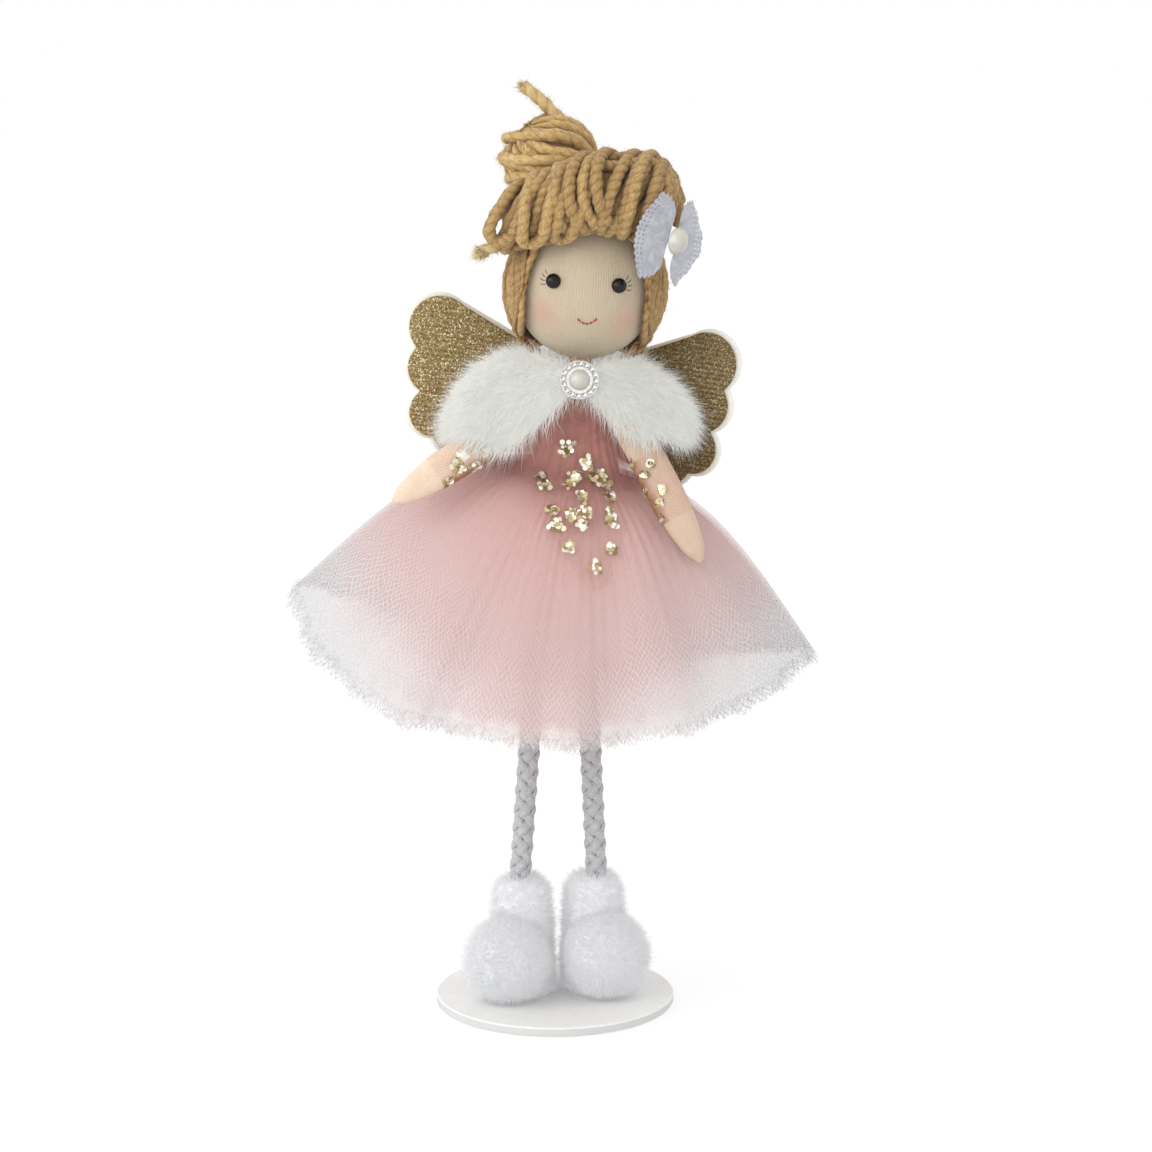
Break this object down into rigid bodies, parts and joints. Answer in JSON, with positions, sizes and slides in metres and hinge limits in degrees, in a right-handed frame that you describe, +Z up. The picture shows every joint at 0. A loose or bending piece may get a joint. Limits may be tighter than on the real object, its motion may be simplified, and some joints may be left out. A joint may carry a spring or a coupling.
{
  "type": "standing fairy doll",
  "caption": "Cloth fairy doll on a round stand, with rope legs, plush boots, a net skirt, a fur cape, felt wings, yarn hair, a turning head and arms that lift.",
  "frame": {"origin": "centre of the base disc, on its underside", "axes": "+Z up through the doll, -Y the way the doll faces, +X to the right of someone who looks at its face"},
  "size_m": [0.1455, 0.1074, 0.2507],
  "materials": {
    "painted_wood": "white paint, satin",
    "boot_plush": "short white pile",
    "wire": "bare wire",
    "leg_rope": "braided cotton cord",
    "body_cloth": "matte skin-coloured cloth",
    "bodice_cloth": "dusty pink net over cloth",
    "pink_net": "soft net",
    "white_net": "stiff open net",
    "sequin_mesh": "fine mesh",
    "sequin": "metallic gold, glossy",
    "fur": "long soft pile",
    "silver": "polished",
    "rhinestone": "clear, faceted",
    "pearl": "pearl lustre",
    "felt": "matte felt",
    "glitter_cloth": "gold glitter, ribbed",
    "neck_wood": "bare wood",
    "thread": "doubled cotton thread",
    "head_jersey": "fine ribbed jersey",
    "bead": "glossy black",
    "yarn": "plied wool yarn",
    "lace": "cotton lace"
  },
  "bodies": {
    "stand_and_body": {"base_plate": "painted_wood", "boot_left": "boot_plush", "boot_right": "boot_plush", "toe_left": "boot_plush", "toe_right": "boot_plush", "leg_wire_left": "wire", "leg_wire_right": "wire", "leg_rope_left": "leg_rope", "leg_rope_right": "leg_rope", "torso": "body_cloth", "bodice": "bodice_cloth", "waist_band": "bodice_cloth", "skirt_lining": "pink_net", "skirt_inner": "pink_net", "skirt_outer": "white_net", "sequin_net": "sequin_mesh", "front_sequins": "sequin", "cape_left": "fur", "cape_right": "fur", "brooch_setting": "silver", "brooch_stones": "rhinestone", "brooch_pearl": "pearl", "wing_felt_left": "felt", "wing_felt_right": "felt", "wing_glitter_left": "glitter_cloth", "wing_glitter_right": "glitter_cloth", "neck_dowel": "neck_wood", "neck_frill": "bodice_cloth", "shoulder_thread_left": "thread", "shoulder_thread_right": "thread"},
    "head_and_hair": {"head": "head_jersey", "eye_left": "bead", "eye_right": "bead", "hair_wig": "yarn", "hair_roll": "yarn", "hair_loops": "yarn", "hair_bun": "yarn", "hair_bun_wrap": "yarn", "hair_tail": "yarn", "hair_end": "yarn", "bow_left": "lace", "bow_right": "lace", "bow_knot": "lace", "bow_pearl": "pearl"},
    "left_arm": {"arm_left": "body_cloth", "sleeve_left": "sequin_mesh"},
    "right_arm": {"arm_right": "body_cloth", "sleeve_right": "sequin_mesh"}
  },
  "joints": [
    {"name": "head_turn", "type": "hinge", "parent": "stand_and_body", "child": "head_and_hair", "pos_m": [0.00827, 0, 0.19747], "axis": [0.0698, 0, 0.9976], "range_deg": [-20, 20]},
    {"name": "left_arm_lift", "type": "hinge", "parent": "stand_and_body", "child": "left_arm", "pos_m": [-0.00805, -0.012, 0.16483], "axis": [0, 1, 0], "range_deg": [0, 45]},
    {"name": "right_arm_lift", "type": "hinge", "parent": "stand_and_body", "child": "right_arm", "pos_m": [0.01988, -0.012, 0.16288], "axis": [0, -1, 0], "range_deg": [0, 60]}
  ]
}
